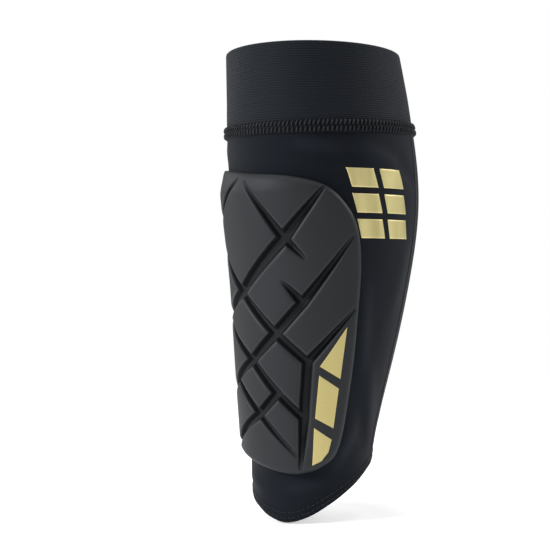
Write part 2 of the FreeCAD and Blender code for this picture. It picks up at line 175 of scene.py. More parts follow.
# Each fold: start angle and level, end angle and level, half width and height, all levels and
# lengths in millimetres; a dip is negative.
FOLDS = (
    (28, 227.5, 62, 222.5, 5.0, 1.26), (66, 223.5, 98, 216.5, 5.0, 1.38),
    (40, 220.5, 74, 212.0, 4.0, -0.92), (92, 220.5, 118, 206.0, 6.0, -1.26),
    (-62, 225.5, -20, 224.5, 5.0, 0.45), (-108, 224.0, -72, 221.5, 6.0, 0.40),
    (82, 85.0, 74, 150.0, 5.0, 1.26), (86, 70.0, 100, 42.0, 6.0, -1.15),
    (60, 30.0, 84, 62.0, 5.0, 1.49), (20, 20.0, 58, 26.0, 4.0, 1.15),
    (-40, 27.0, -6, 20.0, 4.0, 1.15), (100, 120.0, 112, 175.0, 7.0, 1.03),
    (-84, 80.0, -76, 150.0, 5.0, 1.15), (104, 52.0, 88, 98.0, 6.0, 1.15),
    (150, 115.0, 205, 100.0, 8.0, -1.03), (160, 190.0, 215, 180.0, 8.0, 0.92),
    (140, 60.0, 190, 68.0, 7.0, 1.03), (146, 221.0, 214, 220.0, 6.0, 1.15),
)
FOLD_END = 0.04
TAUT_UNDER_RIDGE = 6 * MM
TAUT_OVER_HEM = 9 * MM


def near_line(s, t, start, end):
    """Distance to a straight line on the flattened sleeve, and the share of the way along it."""
    run_s, run_t = end[0] - start[0], end[1] - start[1]
    share = ((s - start[0]) * run_s + (t - start[1]) * run_t) / (run_s ** 2 + run_t ** 2)
    share = np.clip(share, 0.0, 1.0)
    return np.hypot(s - start[0] - share * run_s, t - start[1] - share * run_t), share


def slack(angle, level):
    """Soft folds: each adds height x bell of the distance to its line, faded at its two ends."""
    angle, level = np.broadcast_arrays(np.asarray(angle, float), level)
    s = arc(angle, level)
    total = np.zeros_like(s)
    for angle_1, level_1, angle_2, level_2, reach, height in FOLDS:
        start, end = unrolled(angle_1, level_1 * MM), unrolled(angle_2, level_2 * MM)
        distance, share = near_line(s, level, start, end)
        fade = np.sin(np.pi * np.clip(share, FOLD_END, 1 - FOLD_END)) ** 0.8
        total += height * MM * fade * np.exp(-(distance / (reach * MM)) ** 2)
    return (total * ease((RIDGE_FOOT - level) / TAUT_UNDER_RIDGE)
            * ease((level - hem_level(angle)) / TAUT_OVER_HEM))


# ---------------------------------------------------------------- pad surface

PAD_WRAP = 70.0
PAD_FOOT = 30 * MM
PAD_TOP = RIDGE_FOOT - 20 * MM
PAD_RAMP = 17 * MM
WEB_TOP = 1.85 * MM
RAMP_FOOT = 3.35 * MM
PAD_HEIGHT = 6.5 * MM
SKIN = 0.45 * MM
GROOVE_FLOOR = 2.45 * MM
EDGE_ROLL = 4.2 * MM
EDGE_STEP = 2.0 * MM

OUTLINE = np.array([
    (0.0, 0.975), (0.40, 0.962), (0.68, 0.932), (0.84, 0.872), (0.935, 0.795), (0.98, 0.68),
    (0.995, 0.52), (1.015, 0.32), (1.0, 0.15), (0.925, 0.062), (0.75, 0.022), (0.55, 0.004),
    (0.36, 0.0), (0.12, 0.01), (-0.2, 0.032), (-0.54, 0.06), (-0.80, 0.105), (-0.94, 0.18),
    (-1.0, 0.32), (-1.0, 0.52), (-0.985, 0.70), (-0.955, 0.84), (-0.86, 0.945), (-0.66, 0.995),
    (-0.35, 0.99)])
# Knots of the outline that serve as the skin grid's four corners.
TOP_LEFT, TOP_RIGHT, FOOT_RIGHT, FOOT_LEFT = 22, 3, 9, 16

PLACES = {
    "crown_cross": (-0.071, 0.967), "upper_cross": (0.332, 0.764), "left_cross": (-0.164, 0.591),
    "stub_cross": (0.487, 0.556), "mid_cross": (0.234, 0.457), "crest_cross": (-0.054, 0.368),
    "low_cross": (0.252, 0.263), "toe_cross": (0.021, 0.193), "toe_end": (0.470, 0.066),
    "wing_top": (0.552, 0.366), "wing_mid": (0.541, 0.183), "flank_upper": (-0.757, 0.792),
    "flank_mid": (-0.636, 0.514), "flank_low": (-0.388, 0.308),
    "crown_out": (-0.071, 1.08), "shoulder_out": (0.90, 1.05), "side_high_out": (1.22, 0.95),
    "side_mid_out": (1.22, 0.66), "wing_corner": (1.22, -0.08), "wing_foot_out": (0.50, -0.08),
    "toe_left_out": (-1.10, 0.005), "flank_low_out": (-1.25, 0.110),
    "flank_mid_out": (-1.25, 0.415), "flank_high_out": (-1.25, 0.68), "top_corner": (-1.25, 1.08),
}

# Each groove: its two ends and its width at each, in millimetres; a thin end runs out to nothing.
GROOVES = (
    ((-0.100, 0.958), (-0.554, 0.842), 2.6, 6.5), ((-0.554, 0.842), "flank_upper", 6.5, 6.5),
    ("flank_upper", (-1.10, 0.715), 6.5, 7.0),
    ((0.660, 0.926), "upper_cross", 3.0, 8.6), ("upper_cross", "left_cross", 8.6, 8.6),
    ("left_cross", (-0.562, 0.521), 8.2, 7.5), ((-0.562, 0.521), (-1.12, 0.436), 7.5, 7.5),
    ((0.880, 0.769), "stub_cross", 2.6, 7.0), ("stub_cross", "mid_cross", 7.0, 7.5),
    ("mid_cross", "crest_cross", 7.5, 7.5), ("crest_cross", (-0.579, 0.274), 7.0, 7.0),
    ((-0.579, 0.274), (-1.12, 0.130), 7.0, 7.0),
    ((0.935, 0.534), "wing_top", 2.6, 6.0), ("wing_top", "wing_mid", 6.6, 6.6),
    ("wing_mid", (0.511, 0.020), 6.6, 2.6),
    ("low_cross", "toe_cross", 6.5, 6.5), ("toe_cross", (-0.402, 0.122), 6.5, 6.3),
    ((-0.402, 0.122), (-0.86, 0.025), 6.3, 6.0),
    ("flank_upper", "left_cross", 6.2, 6.2),
    ((-0.018, 0.945), "upper_cross", 2.6, 6.8), ("upper_cross", (0.505, 0.699), 6.6, 2.6),
    ((0.312, 0.624), "stub_cross", 2.6, 7.0),
    ("left_cross", "mid_cross", 6.2, 6.2), ("mid_cross", "wing_top", 6.2, 6.0),
    ("crest_cross", "low_cross", 6.0, 6.0), ("low_cross", "wing_mid", 5.6, 5.6),
    ("toe_cross", (0.470, 0.062), 5.0, 2.6),
    ("flank_mid", "crest_cross", 5.2, 5.4), ("flank_low", "toe_cross", 5.0, 5.2),
)
FULL_GROOVE = 5.0 * MM
TIP_WIDTH = 2.3 * MM
TIP_POWER = 0.8
FLOOR_SHARE = 0.36
WALL_LEAN = 0.05
SHOULDER = 1.5 * MM
SHOULDER_DROP = 0.09
LIP = 0.55 * MM
SHALLOW = 0.3

# Each foam block by the places at its corners, in order round it.
BLOCKS = {
    "crown_left_block": "crown_out crown_cross flank_upper flank_high_out top_corner",
    "crown_right_block": "crown_out crown_cross upper_cross shoulder_out",
    "upper_diamond_block": "crown_cross upper_cross left_cross flank_upper",
    "upper_flank_block": "flank_high_out flank_upper left_cross flank_mid flank_mid_out",
    "shoulder_block": "shoulder_out upper_cross left_cross mid_cross stub_cross side_high_out",
    "centre_diamond_block": "left_cross mid_cross crest_cross flank_mid",
    "middle_flank_block": "flank_mid_out flank_mid crest_cross flank_low flank_low_out",
    "outer_band_block": "mid_cross stub_cross side_high_out side_mid_out wing_top",
    "lower_diamond_block": "mid_cross wing_top wing_mid low_cross crest_cross",
    "small_diamond_block": "crest_cross low_cross toe_cross flank_low",
    "lower_right_block": "low_cross wing_mid toe_end toe_cross",
    "lower_flank_block": "flank_low_out flank_low toe_cross toe_left_out",
    "toe_block": "toe_cross toe_end wing_foot_out toe_left_out",
    "wing_block": "wing_top side_mid_out wing_corner wing_foot_out",
}

# Gold tiles on the wing block.
INLAYS = {
    "upper_inlay": ((0.883, 0.478), (0.874, 0.311), (0.670, 0.352)),
    "middle_inlay": ((0.670, 0.3235), (0.869, 0.280), (0.854, 0.152), (0.657, 0.185)),
    "lower_inlay": ((0.651, 0.154), (0.844, 0.115), (0.817, 0.075), (0.743, 0.046),
                    (0.644, 0.032)),
}


def pad_angle(across):
    """Angle of a place's share across the pad."""
    return np.asarray(across) * PAD_WRAP


def pad_level(up):
    """Level of a place's share up the pad."""
    return PAD_FOOT + np.asarray(up) * (PAD_TOP - PAD_FOOT)


def flat(place):
    """A place on the pad, or its name, as a point on the flattened sleeve."""
    across, up = PLACES[place] if isinstance(place, str) else place
    return unrolled(pad_angle(across), pad_level(up))


def unroll(s, t):
    """The angle whose arc at level t is s: three Newton steps from s over the mean radius."""
    mean = np.sqrt((half_width(t) ** 2 + half_depth(t) ** 2) / 2)
    angle = np.degrees(s / mean)
    for _ in range(3):
        angle = angle - np.degrees((arc(angle, t) - s) / mean)
    return angle


def outline_at(knot):
    """A place on the pad's outline by its knot number, with parts of a knot between two."""
    return loop_curve(np.arange(len(OUTLINE)), OUTLINE, len(OUTLINE), knot)


RIM = outline_at(np.linspace(0, len(OUTLINE), 241)[:-1])
RIM_FLAT = unrolled(pad_angle(RIM[:, 0]), pad_level(RIM[:, 1]))


def inside_rim(s, t):
    """Distance to the pad's outline on the flattened sleeve."""
    nearest = np.full(np.shape(s), 1.0)
    for start, end in zip(RIM_FLAT, np.roll(RIM_FLAT, -1, 0)):
        nearest = np.minimum(nearest, near_line(s, t, start, end)[0])
    return nearest


def groove_cut(s, t):
    """Share of the depth cut away, and masks for a painted highlight along each rim and painted
    shade on each wall.

    Across a groove: a level floor, nearly straight walls, then a soft shoulder beyond the rim.
    Along it: the depth grows as a power of the width beyond the tip's.  The marks are a narrow
    bell over the rim, for a painted highlight, and a band between floor and rim, for painted
    shade, both faint where the groove is shallow.
    """
    cut, rim_highlight, reach = np.zeros_like(s), np.zeros_like(s), np.zeros_like(s)
    for start, end, width_1, width_2 in GROOVES:
        distance, share = near_line(s, t, flat(start), flat(end))
        width = blend(width_1, width_2, share) * MM
        floor = width * FLOOR_SHARE / 2
        climb = np.clip((distance - floor) / (width / 2 - floor), 0.0, 1.0)
        climb = climb - WALL_LEAN * np.sin(2 * np.pi * climb)
        shoulder = 1 - ease((distance - width / 2) / SHOULDER)
        depth = np.clip((width - TIP_WIDTH) / (FULL_GROOVE - TIP_WIDTH), 0.0, 1.0) ** TIP_POWER
        cut = np.maximum(cut, depth * (1 - climb + SHOULDER_DROP * climb * shoulder))
        # A narrow bell over each rim: where a highlight is painted.
        rim_highlight = np.maximum(rim_highlight, depth * np.exp(-((distance - width / 2) / LIP) ** 2))
        reach = np.maximum(reach, 1 - climb)
    wall = ease((reach - 0.10) / 0.15) * ease((1 - reach) / 0.12) * ease(cut / SHALLOW)
    return cut, rim_highlight * (1 - ease(cut / (2 * SHALLOW))), wall


def pad_surface(s, t):
    """Height of the skin: full height, ramped at the top, rolled at the rim, less the grooves.

    The rim's roll is a quarter ellipse.  Returns the height, the share cut away, which also sets
    the painted groove shade, and the marks for the painted rim highlight and wall shade.
    """
    full = RAMP_FOOT + (PAD_HEIGHT - RAMP_FOOT) * ease((PAD_TOP - t) / PAD_RAMP)
    roll = np.clip(inside_rim(s, t) / EDGE_ROLL, 0.0, 1.0)
    top = EDGE_STEP + (full - EDGE_STEP) * np.sqrt(1 - (1 - roll) ** 2)
    cut, rim_highlight, wall = groove_cut(s, t)
    floor = np.minimum(GROOVE_FLOOR, top)
    return top - (top - floor) * cut, cut, rim_highlight, wall


# ---------------------------------------------------------------- mesh making

def lay_mesh(name, points, faces, uv=None, marks=None):
    """Puts worked-out points and faces into a smooth-shaded object at the origin."""
    mesh = bpy.data.meshes.new(name)
    mesh.from_pydata(points.reshape(-1, 3), [], faces)
    if uv is not None:
        layer = mesh.attributes.new("cloth", "FLOAT_VECTOR", "POINT")
        places = np.zeros((len(mesh.vertices), 3), np.float32)
        places[:, :2] = uv.reshape(-1, 2)
        layer.data.foreach_set("vector", places.ravel())
    for mark, values in (marks or {}).items():
        layer = mesh.attributes.new(mark, "FLOAT", "POINT")
        layer.data.foreach_set("value", np.asarray(values, np.float32).ravel())
    mesh.polygons.foreach_set("use_smooth", np.ones(len(mesh.polygons), bool))
    mesh.validate()
    mesh.update()
    piece = bpy.data.objects.new(name, mesh)
    bpy.context.scene.collection.objects.link(piece)
    return piece


def grid_faces(rows, columns, first=0, around=False, over=False):
    """One quad between each four neighbours; around joins the columns' ends, over the rows'."""
    index = first + np.arange(rows * columns).reshape(rows, columns)
    if around:
        index = np.hstack([index, index[:, :1]])
    if over:
        index = np.vstack([index, index[:1]])
    quads = [index[:-1, :-1], index[:-1, 1:], index[1:, 1:], index[1:, :-1]]
    return np.stack(quads, -1).reshape(-1, 4)


def wall_faces(rows, columns, around=False, first=0):
    """An outer grid, the inner grid numbered after it, and the rims that join their edges."""
    count = rows * columns
    front = grid_faces(rows, columns, first, around)
    back = grid_faces(rows, columns, first + count, around)[:, ::-1]
    index = first + np.arange(count).reshape(rows, columns)
    if around:
        loops = [np.append(index[0], index[0, 0]), np.append(index[-1], index[-1, 0])[::-1]]
    else:
        loops = [np.concatenate([index[0], index[1:, -1], index[-1, -2::-1], index[-2::-1, 0]])]
    rims = [np.stack([loop[1:], loop[:-1], loop[:-1] + count, loop[1:] + count], -1)
            for loop in loops]
    return np.concatenate([front, back, *rims]).tolist()


def shell(name, angle, level, outside, inside, around=False, marks=None):
    """A closed wall between two heights off the leg form, joined all round its edges."""
    points = np.stack([leg(angle, level, outside), leg(angle, level, inside)])
    uv = np.stack([unrolled(angle, level)] * 2)
    marks = {mark: np.stack([values] * 2) for mark, values in (marks or {}).items()}
    return lay_mesh(name, points, wall_faces(*level.shape, around), uv, marks)


def closed_rings(name, rings, uv=None):
    """Rings stacked from one end to the other, each end closed with a fan to its middle."""
    rows, columns = rings.shape[:2]
    middles = [rings[0].mean(0)[None], rings[-1].mean(0)[None]]
    points = np.concatenate([rings.reshape(-1, 3), *middles])
    quads = grid_faces(rows, columns, 0, around=True).tolist()
    start, end = rows * columns, rows * columns + 1
    ring = np.arange(columns)
    following = np.roll(ring, -1)
    last = (rows - 1) * columns
    foot = np.stack([following, ring, np.full(columns, start)], -1).tolist()
    head = np.stack([last + ring, last + following, np.full(columns, end)], -1).tolist()
    return lay_mesh(name, points, quads + foot + head, uv)


def threads(name, rows, radius, sides=5, ends=0.35):
    """Many short tubes, round and thinner at both ends, by rows of (angle, level, height)."""
    paths = np.concatenate([leg(*row) for row in rows])
    outward = np.concatenate([leg_normal(*row[:2]) for row in rows])
    count, steps = paths.shape[:2]
    along = np.gradient(paths, axis=1)
    along /= np.linalg.norm(along, axis=-1, keepdims=True)
    across = np.cross(along, outward)
    across /= np.linalg.norm(across, axis=-1, keepdims=True)
    up = np.cross(across, along)
    girth = np.full(steps, radius)
    girth[[0, -1]] *= ends
    turn = np.linspace(0, 2 * np.pi, sides, endpoint=False)
    sections = (np.cos(turn)[:, None] * across[:, :, None]
                + np.sin(turn)[:, None] * up[:, :, None])
    rings = paths[:, :, None] + girth[:, None, None] * sections
    one = grid_faces(steps, sides, 0, around=True)[:, ::-1]
    first = (np.arange(count) * steps * sides)[:, None, None]
    tubes = (one[None] + first).reshape(-1, 4).tolist()
    ring = np.arange(sides)
    caps = np.concatenate([first[:, :, 0] + ring[None],
                           first[:, :, 0] + ((steps - 1) * sides + ring)[None, ::-1]])
    return lay_mesh(name, rings, tubes + caps.tolist())


def edge_swell(distance, half):
    """Half the wall's thickness near a folded edge: a half circle, then constant."""
    near = np.clip(distance / half, 0.0, 1.0)
    return half * np.sqrt(1 - (1 - near) ** 2)


FOLD_STEPS = np.array([0.0, 0.03, 0.12, 0.28, 0.5, 0.75, 1.0])


# ---------------------------------------------------------------- finishes

COOL_SHINE = (0.72, 0.86, 1.0, 1.0)
FILM_SHINE = (0.86, 0.93, 1.0, 1.0)


class Wire:
    """A socket of a material's node tree; arithmetic on it adds Math nodes."""

    def __init__(self, tree, socket):
        self.tree, self.socket = tree, socket

    def node(self, kind, settings, inputs, output=0):
        """Adds a node, sets its settings, then its inputs' values or links."""
        made = self.tree.nodes.new(kind)
        for key, value in settings.items():
            setattr(made, key, value)
        for key, value in inputs.items():
            if isinstance(value, Wire):
                self.tree.links.new(value.socket, made.inputs[key])
            else:
                made.inputs[key].default_value = value
        return Wire(self.tree, made.outputs[output])

    def maths(self, operation, first, second=0.0, clamp=False):
        """A Math node on two wires or numbers."""
        settings = {"operation": operation, "use_clamp": clamp}
        return self.node("ShaderNodeMath", settings, {0: first, 1: second})

    def __add__(self, other):
        return self.maths("ADD", self, other)

    def __radd__(self, other):
        return self.maths("ADD", other, self)

    def __sub__(self, other):
        return self.maths("SUBTRACT", self, other)

    def __rsub__(self, other):
        return self.maths("SUBTRACT", other, self)

    def __mul__(self, other):
        return self.maths("MULTIPLY", self, other)

    def __rmul__(self, other):
        return self.maths("MULTIPLY", other, self)

    def wave(self, pitch):
        """0 to 1 and back once every pitch."""
        return self.maths("SINE", self * (2 * math.pi / pitch)) * 0.5 + 0.5

    def clipped(self, low, high):
        """0 below low, 1 above high."""
        return self.maths("MULTIPLY", self - low, 1 / (high - low), clamp=True)


def start_finish(name, **constants):
    """A new material with its shader's constants set, and its start wire for adding nodes."""
    material = bpy.data.materials.new(name)
    material.use_nodes = True
    tree = material.node_tree
    shader = tree.nodes["Principled BSDF"]
    for key, value in constants.items():
        shader.inputs[key.replace("_", " ")].default_value = value
    return material, Wire(tree, None)


def object_place(wire):
    """The point on the object, in metres."""
    return wire.node("ShaderNodeTexCoord", {}, {}, "Object")


def cloth_place(wire):
    """Along the cloth and up it, in metres, from the piece's own attribute."""
    place = wire.node("ShaderNodeAttribute", {"attribute_name": "cloth"}, {}, "Vector")
    return (wire.node("ShaderNodeSeparateXYZ", {}, {0: place}, 0),
            wire.node("ShaderNodeSeparateXYZ", {}, {0: place}, 1))


def mark_value(wire, mark):
    """A number that the mesh carries at each point."""
    return wire.node("ShaderNodeAttribute", {"attribute_name": mark}, {}, "Fac")


def mottle(wire, scale, detail=3.0, roughness=0.5):
    """Soft cloudy noise on object coordinates."""
    return wire.node("ShaderNodeTexNoise", {},
                     {"Vector": object_place(wire), "Scale": scale, "Detail": detail,
                      "Roughness": roughness}, "Fac")


def finish_surface(wire, dark, light, tone, roughness, height=None, strength=0.5, depth=0.1 * MM):
    """Links the shader's colour, from dark to light by the tone, its roughness and relief."""
    shader = wire.tree.nodes["Principled BSDF"]
    colour = wire.node("ShaderNodeMix", {"data_type": "RGBA"},
                       {0: tone, 6: (*dark, 1.0), 7: (*light, 1.0)}, 2)
    wire.tree.links.new(colour.socket, shader.inputs["Base Color"])
    wire.tree.links.new(roughness.socket, shader.inputs["Roughness"])
    if height is not None:
        bump = wire.node("ShaderNodeBump", {}, {"Strength": strength, "Distance": depth,
                                                "Height": height})
        wire.tree.links.new(bump.socket, shader.inputs["Normal"])
    return shader


def knit_finish(name, dark, light, pitch, course, sheen, relief=0.45):
    """Fine stretch knit: upright wales crossed by shorter courses, paler on the folds' crests as a
    painted highlight.
    """
    material, wire = start_finish(name, Sheen_Weight=sheen, Sheen_Roughness=0.45,
                                  Specular_Tint=COOL_SHINE, Specular_IOR_Level=0.10)
    along, up = cloth_place(wire)
    wales, courses = along.wave(pitch), up.wave(course)
    loops = wales * 0.65 + wales * courses * 0.35
    cloud = mottle(wire, 38.0)
    # The crest mark paints a highlight on the raised folds.
    tone = cloud * 0.55 + loops * 0.25 + mark_value(wire, "crest") * 0.75
    finish_surface(wire, dark, light, tone, cloud * 0.16 + 0.62, loops, relief, 0.12 * MM)
    return material


def rib_finish():
    """Elastic rib band: painted shade in the valleys between lighter ribs, crossed by fine upright
    stitches.
    """
    dark, light = (0.0026, 0.0032, 0.0047), (0.0130, 0.0147, 0.0188)
    material, wire = start_finish("cuff_rib", Sheen_Weight=0.06, Sheen_Roughness=0.4,
                                  Specular_Tint=COOL_SHINE, Specular_IOR_Level=0.12)
    along = cloth_place(wire)[0]
    rib = mark_value(wire, "rib")
    stitch = along.wave(0.9 * MM)
    cloud = mottle(wire, 60.0)
    # The rib mark darkens the valleys between the ribs: painted shade.
    tone = rib * 0.6 + cloud * 0.25 + stitch * 0.15
    finish_surface(wire, dark, light, tone, cloud * 0.15 + 0.6,
                   stitch * 0.6 + rib * 0.4, 0.5, 0.12 * MM)
    return material


def thread_finish():
    """Twisted polyester thread."""
    dark, light = (0.006, 0.007, 0.009), (0.020, 0.0215, 0.026)
    material, wire = start_finish("seam_thread", Sheen_Weight=0.04, Sheen_Roughness=0.35,
                                  Specular_IOR_Level=0.2)
    grain = mottle(wire, 2600.0, 2.0)
    finish_surface(wire, dark, light, grain, grain * 0.2 + 0.45, grain, 0.4, 0.08 * MM)
    return material


def skin_finish():
    """Moulded charcoal film: satin, fine grain, a painted highlight on the rims, painted shade down
    in the grooves and on their walls.
    """
    dark, light = (0.0006, 0.0008, 0.0013), (0.0335, 0.0352, 0.0380)
    material, wire = start_finish("pad_skin", Specular_IOR_Level=0.24,
                                  Specular_Tint=FILM_SHINE)
    groove_shade, wall, rim_highlight = (mark_value(wire, mark) for mark in ("groove_shade", "wall", "rim_highlight"))
    cloud = mottle(wire, 22.0)
    grain = mottle(wire, 1900.0, 2.0, 0.6)
    # Mottle and grain are the film's own tone; the rim mark adds a painted highlight along each
    # rim.
    grain_and_rim_highlight = cloud * 0.20 + grain * 0.12 + 0.30 + rim_highlight * 0.42
    # Painted shade: darker by the share of the groove cut away, and nearly black on the walls
    # between floor and rim.
    tone = (grain_and_rim_highlight * (1.0 - groove_shade * 0.88)) * (1.0 - wall * 0.96)
    finish_surface(wire, dark, light, tone,
                   0.52 + cloud * 0.08 + wall * 0.35 - rim_highlight * 0.10, grain, 0.22, 0.05 * MM)
    return material


def foam_finish(name, dark, light):
    """Closed-cell foam: fine cells."""
    material, wire = start_finish(name, Specular_IOR_Level=0.25)
    cells = wire.node("ShaderNodeTexVoronoi", {}, {"Vector": object_place(wire), "Scale": 1400.0},
                      "Distance")
    cloud = mottle(wire, 45.0)
    finish_surface(wire, dark, light, cloud * 0.7 + cells * 0.3,
                   cells * 0.2 + 0.65, cells, 0.4, 0.08 * MM)
    return material


def gold_finish(name, dark, light, sheen_streak, metal, rough):
    """Pale gold film: soft upright streaks of painted sheen in its colour, and a fine sparkle in
    its sheen.
    """
    material, wire = start_finish(name, Metallic=metal, Specular_IOR_Level=0.5)
    along, up = cloth_place(wire)
    run = wire.node("ShaderNodeCombineXYZ", {}, {0: along * 60.0, 1: up * 9.0, 2: 0.0})
    streaks = wire.node("ShaderNodeTexNoise", {}, {"Vector": run, "Scale": 1.0, "Detail": 3.0},
                        "Fac")
    sparkle = mottle(wire, 1600.0, 2.0)
    # The streaks in the colour are painted sheen: lighter and darker bands standing in for streaky
    # reflections.
    tone = streaks.clipped(0.28, 0.72) * sheen_streak + sparkle * (1 - sheen_streak)
    finish_surface(wire, dark, light, tone, sparkle * 0.14 + rough,
                   sparkle, 0.15, 0.04 * MM)
    return material


def liner_finish():
    """Brushed spacer cloth with small round air holes."""
    dark, light, pitch = (0.012, 0.0125, 0.014), (0.032, 0.033, 0.036), 3.2 * MM
    material, wire = start_finish("liner_cloth", Sheen_Weight=0.25,
                                  Specular_IOR_Level=0.2)
    along, up = cloth_place(wire)
    cloth = 1 - along.wave(pitch) * up.wave(pitch)
    cloud = mottle(wire, 50.0)
    finish_surface(wire, dark, light, cloud * 0.6 + cloth * 0.4,
                   cloud * 0.1 + 0.75, cloth, 0.6, 0.25 * MM)
    return material


FRONT_KNIT = knit_finish("front_knit", (0.0024, 0.0031, 0.0050), (0.0086, 0.0103, 0.0146),
                         pitch=0.62 * MM, course=0.50 * MM, sheen=0.05)
CALF_KNIT = knit_finish("calf_mesh", (0.0025, 0.003, 0.0042), (0.0065, 0.0072, 0.0095),
                        pitch=1.5 * MM, course=1.2 * MM, sheen=0.03, relief=0.8)
CUFF_RIB = rib_finish()
THREAD = thread_finish()
PAD_FILM = skin_finish()
FOAM = foam_finish("pad_foam", (0.016, 0.0165, 0.018), (0.034, 0.035, 0.037))
WEB = foam_finish("pad_web", (0.008, 0.0085, 0.010), (0.018, 0.0185, 0.020))
INLAY_GOLD = gold_finish("inlay_gold", (0.39, 0.328, 0.116), (0.56, 0.468, 0.185),
                         sheen_streak=0.25, metal=0.15, rough=0.45)
EMBLEM_FOIL = gold_finish("emblem_foil", (0.38, 0.325, 0.125), (0.78, 0.68, 0.32),
                          sheen_streak=0.85, metal=0.45, rough=0.38)
LINER_CLOTH = liner_finish()


def settle(piece, node_name, material):
    """A finished piece stands for its CAD node, rides on the guard and takes its finish."""
    piece.data.materials.append(material)
    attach(piece, "root")
    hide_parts(node_name)


# ---------------------------------------------------------------- sleeve

def panel_rows(angle, count):
    """Levels from the hem's fold up to the ridge: close together in the fold, then even."""
    hem = hem_level(angle)
    top = ridge_level(angle, TUCK)
    fold = hem[None] + FOLD_STEPS[:, None] * KNIT / 2
    shares = np.linspace(0, 1, count + 1)[1:, None]
    return np.concatenate([fold, blend(fold[-1][None], top[None], shares)])


# Fold height at which the painted highlight on a fold's crest is full.
FULL_CREST = 1.5 * MM
SEAM_GAP = 0.2


def make_panel(name, material, angle_from, angle_to, columns, rows):
    """One knit panel: the leg form between two seams, its hem folded round."""
    angle = np.linspace(angle_from, angle_to, columns)
    level = panel_rows(angle, rows)
    swell = edge_swell(level - level[0], KNIT / 2)
    ripple = slack(angle, level)
    middle = ripple - KNIT / 2
    # The crest mark carries the painted highlight on the folds' crests.
    piece = shell(name + "_knit", angle, level, middle + swell, middle - swell,
                  marks={"crest": np.clip(ripple / FULL_CREST, 0, 1)})
    settle(piece, name, material)


RIBS = 34
ROWS_PER_RIB = 5
RIB_RELIEF = 0.16 * MM
RIB_POWER = 0.7
BRIM_RISE = 0.5 * MM
BRIM_TILT = 1.5 * MM
CUFF_SWAY = 0.35 * MM


def make_cuff():
    """Rib band: each rib is a raised half wave; the top edge is folded over."""
    angle = all_round(300)
    foot = ridge_level(angle, RIDGE_HEIGHT - TUCK)
    share = np.linspace(0, 1, RIBS * ROWS_PER_RIB + 1)[:, None]
    brim = SLEEVE_TOP + BRIM_RISE + BRIM_TILT * np.cos(np.radians(angle - 45))
    fold = brim[None] - FOLD_STEPS[::-1][1:, None] * CUFF / 2
    level = np.concatenate([blend(foot[None], fold[0][None], share), fold[1:]])
    wave = np.abs(np.sin(np.pi * RIBS * share)) ** RIB_POWER
    rib = np.concatenate([wave, np.ones((len(fold) - 1, 1))]) + 0 * level
    sway = CUFF_SWAY * np.sin(np.radians(3 * angle + 40)) * ease((level - foot) / (20 * MM))
    swell = edge_swell(brim[None] - level, CUFF / 2)
    lift = sway + RIB_RELIEF * (rib - 1)
    # The rib mark also sets the painted shade in the valleys of the rib finish.
    piece = shell("cuff_rib_band", angle, level, lift - CUFF / 2 + swell,
                  sway - CUFF / 2 - swell, around=True, marks={"rib": rib})
    settle(piece, "cuff_band", CUFF_RIB)


DENT = 0.40 * MM
DENT_HEIGHT = 3.9 * MM
DENT_HALF = 0.45 * MM
RIDGE_RIPPLE = 0.22 * MM
STITCH_BOW = 0.22 * MM


def ridge_dent(height):
    """The shallow channel along the ridge that the needle line lies in."""
    return DENT * np.exp(-((height - DENT_HEIGHT) / DENT_HALF) ** 2)


def ridge_offset(height):
    """How far the ridge's outer face stands off the sleeve at a height above its foot."""
    share = np.minimum(1.0, np.abs(2 * height / RIDGE_HEIGHT - 1))
    return RIDGE_PROUD * (1 - share ** 3) ** (1 / 3) - ridge_dent(height)


def make_ridge():
    """The overlocked ridge: a rounded-rectangle section carried round the tilted plane."""
    angle = all_round(320)[None]
    turn = np.linspace(0, 2 * np.pi, 28, endpoint=False)
    across = np.sign(np.cos(turn)) * np.abs(np.cos(turn)) ** (2 / 3)
    rise = np.sign(np.sin(turn)) * np.abs(np.sin(turn)) ** (2 / 3)
    height = RIDGE_HEIGHT / 2 * (1 + rise)
    offset = np.where(across > 0, across * RIDGE_PROUD, across * CUFF)
    offset = offset - ridge_dent(height) * (across > 0)
    ripple = RIDGE_RIPPLE * np.sin(np.radians(angle * 7)) * np.sin(np.radians(angle * 3 + 25))
    level = ridge_level(angle, height[:, None]) + ripple
    piece = lay_mesh("cuff_join_roll", leg(angle, level, offset[:, None]),
                     grid_faces(*level.shape, 0, True, True).tolist(), unrolled(angle, level))
    settle(piece, "cuff_join_seam", CALF_KNIT)


LOOP_PITCH = 2.6 * MM
LOOP_RADIUS = 0.56 * MM
LOOP_LIFT = 0.10 * MM
LOOP_BOW = 0.12 * MM
NEEDLE_HEIGHT = 3.93 * MM
NEEDLE_RADIUS = 0.24 * MM
# Height of each row's foot and head, and its slant in shares of the pitch.
LOOP_ROWS = ((0.5 * MM, 3.6 * MM, 0.35), (4.2 * MM, 7.6 * MM, 0.5))


